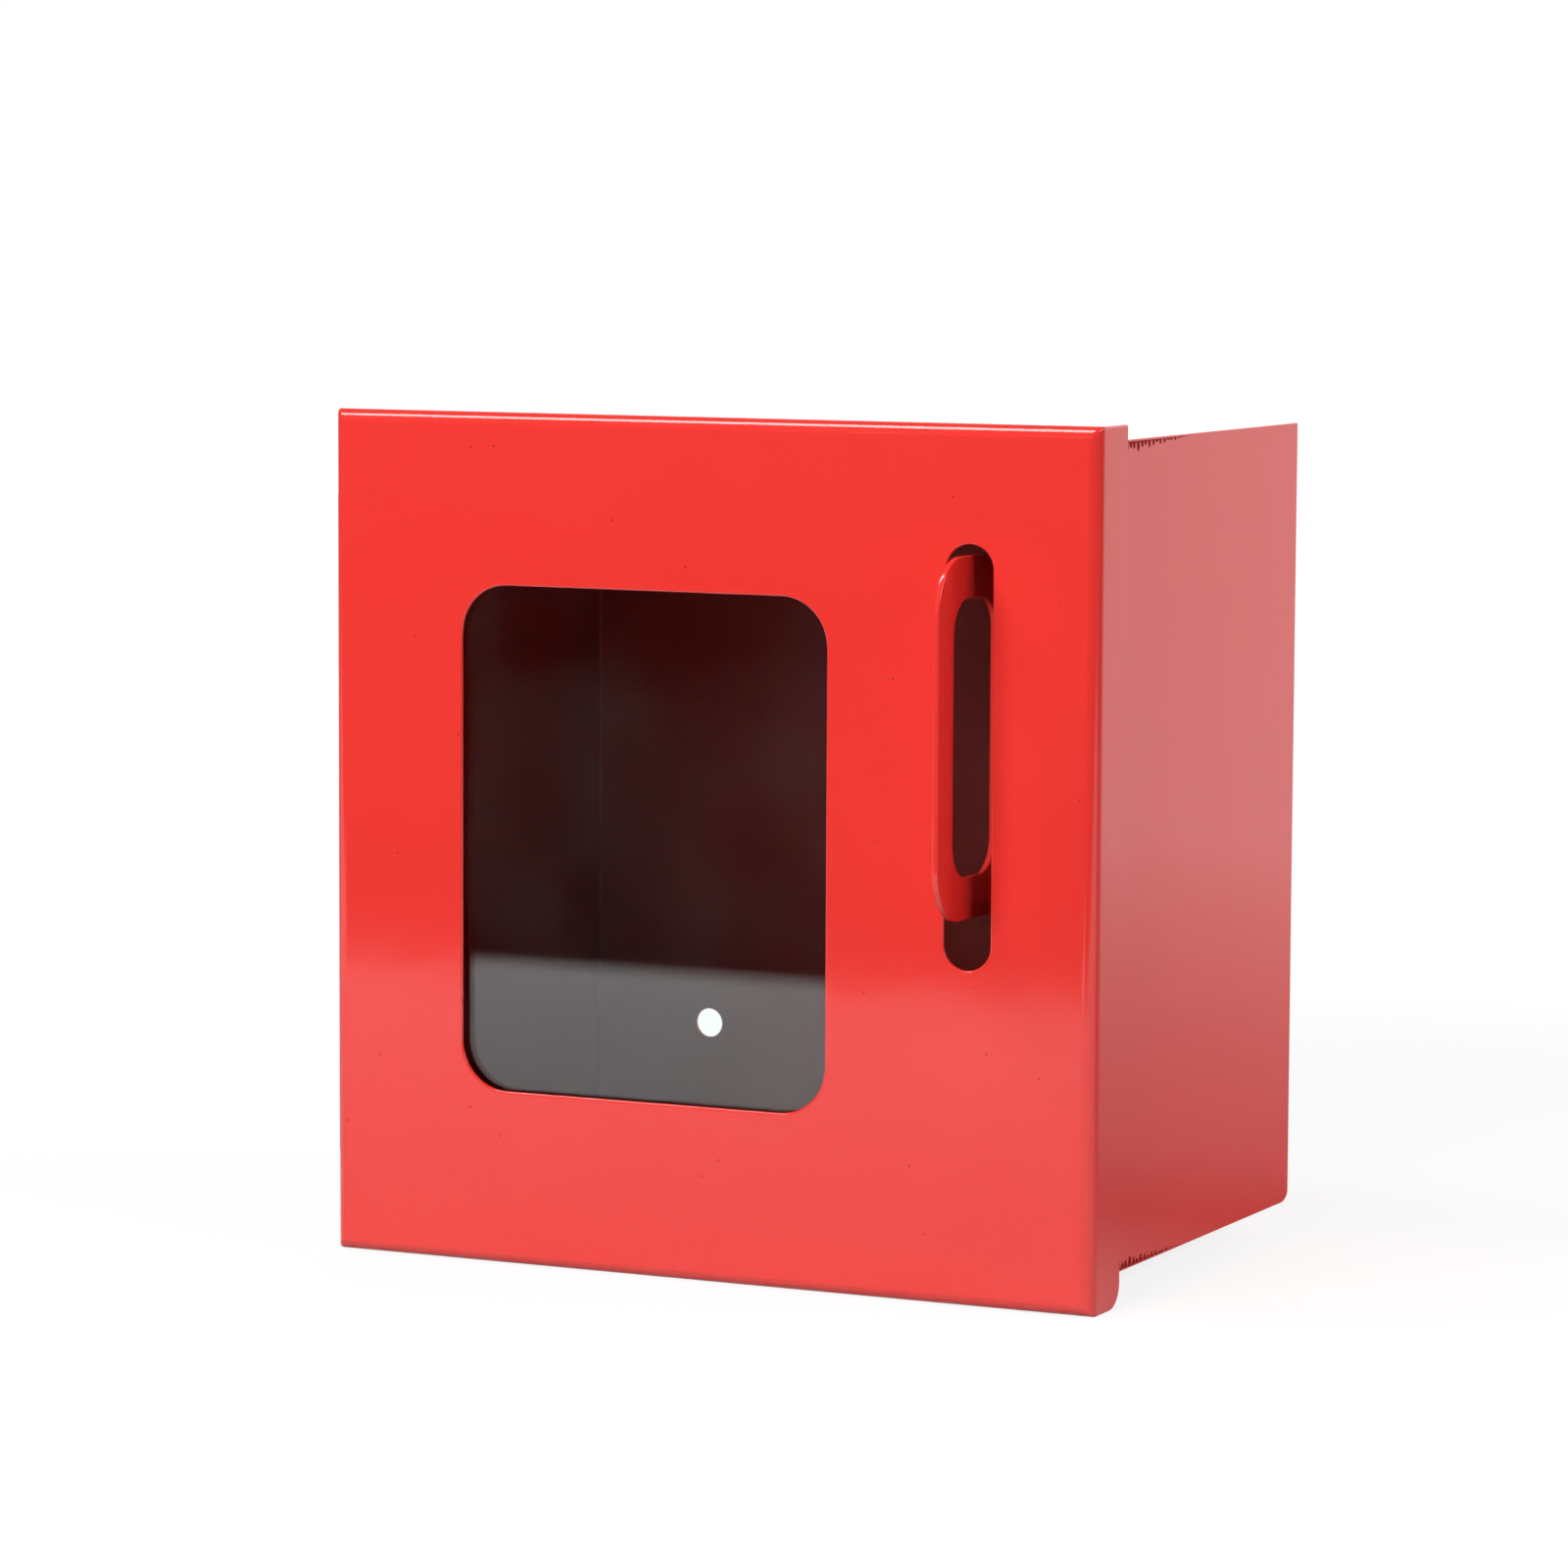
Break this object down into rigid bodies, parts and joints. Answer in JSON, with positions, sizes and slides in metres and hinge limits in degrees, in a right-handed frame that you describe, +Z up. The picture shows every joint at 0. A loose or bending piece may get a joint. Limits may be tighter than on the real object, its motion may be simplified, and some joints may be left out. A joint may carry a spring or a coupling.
{
  "type": "break glass key box",
  "caption": "Wall-mounted steel key box with a hinged door, a glass window to break, and a slot for a padlock staple; keys hang inside on hooks.",
  "frame": {"origin": "centre of the four wall holes, on the outer face of the back wall", "axes": "+Z up, +Y towards the wall, so the door faces -Y; +X to the right as seen from the front"},
  "size_m": [0.2034, 0.1535, 0.2053],
  "materials": {
    "red_powder_coat": "gloss powder coat on folded steel",
    "zinc_plated_steel": "bright zinc plated",
    "clear_glass": "clear float glass",
    "black_rubber": "matt moulded rubber"
  },
  "bodies": {
    "cabinet": {"cabinet_shell": "red_powder_coat", "cabinet_corner_welds": "red_powder_coat", "padlock_staple": "red_powder_coat", "hinge_cabinet_leaf": "red_powder_coat", "hinge_pin": "zinc_plated_steel", "cabinet_leaf_rivets": "zinc_plated_steel", "hook_rail": "red_powder_coat", "key_hooks": "zinc_plated_steel", "hook_rail_rivets": "zinc_plated_steel", "door_bumpers": "black_rubber"},
    "door": {"door_panel": "red_powder_coat", "door_corner_welds": "red_powder_coat", "hinge_door_leaf": "red_powder_coat", "door_leaf_rivets": "zinc_plated_steel", "window_pane": "clear_glass", "pane_gasket": "black_rubber", "pane_ledge": "red_powder_coat", "pane_guide_left": "red_powder_coat", "pane_guide_right": "red_powder_coat", "clip_studs": "zinc_plated_steel", "clip_washers": "zinc_plated_steel", "clip_nuts": "zinc_plated_steel"},
    "left_clip": {"pane_clip_left": "zinc_plated_steel"},
    "right_clip": {"pane_clip_right": "zinc_plated_steel"}
  },
  "joints": [
    {"name": "door_hinge", "type": "hinge", "parent": "cabinet", "child": "door", "pos_m": [-0.1006, -0.1144, 0], "axis": [0, 0, -1], "range_deg": [0, 170]},
    {"name": "left_clip_turn", "type": "hinge", "parent": "door", "child": "left_clip", "pos_m": [-0.0504, -0.1299, 0.0747], "axis": [0, 1, 0], "range_deg": [-90, 90]},
    {"name": "right_clip_turn", "type": "hinge", "parent": "door", "child": "right_clip", "pos_m": [0.0176, -0.1299, 0.0747], "axis": [0, -1, 0], "range_deg": [-90, 90]}
  ]
}
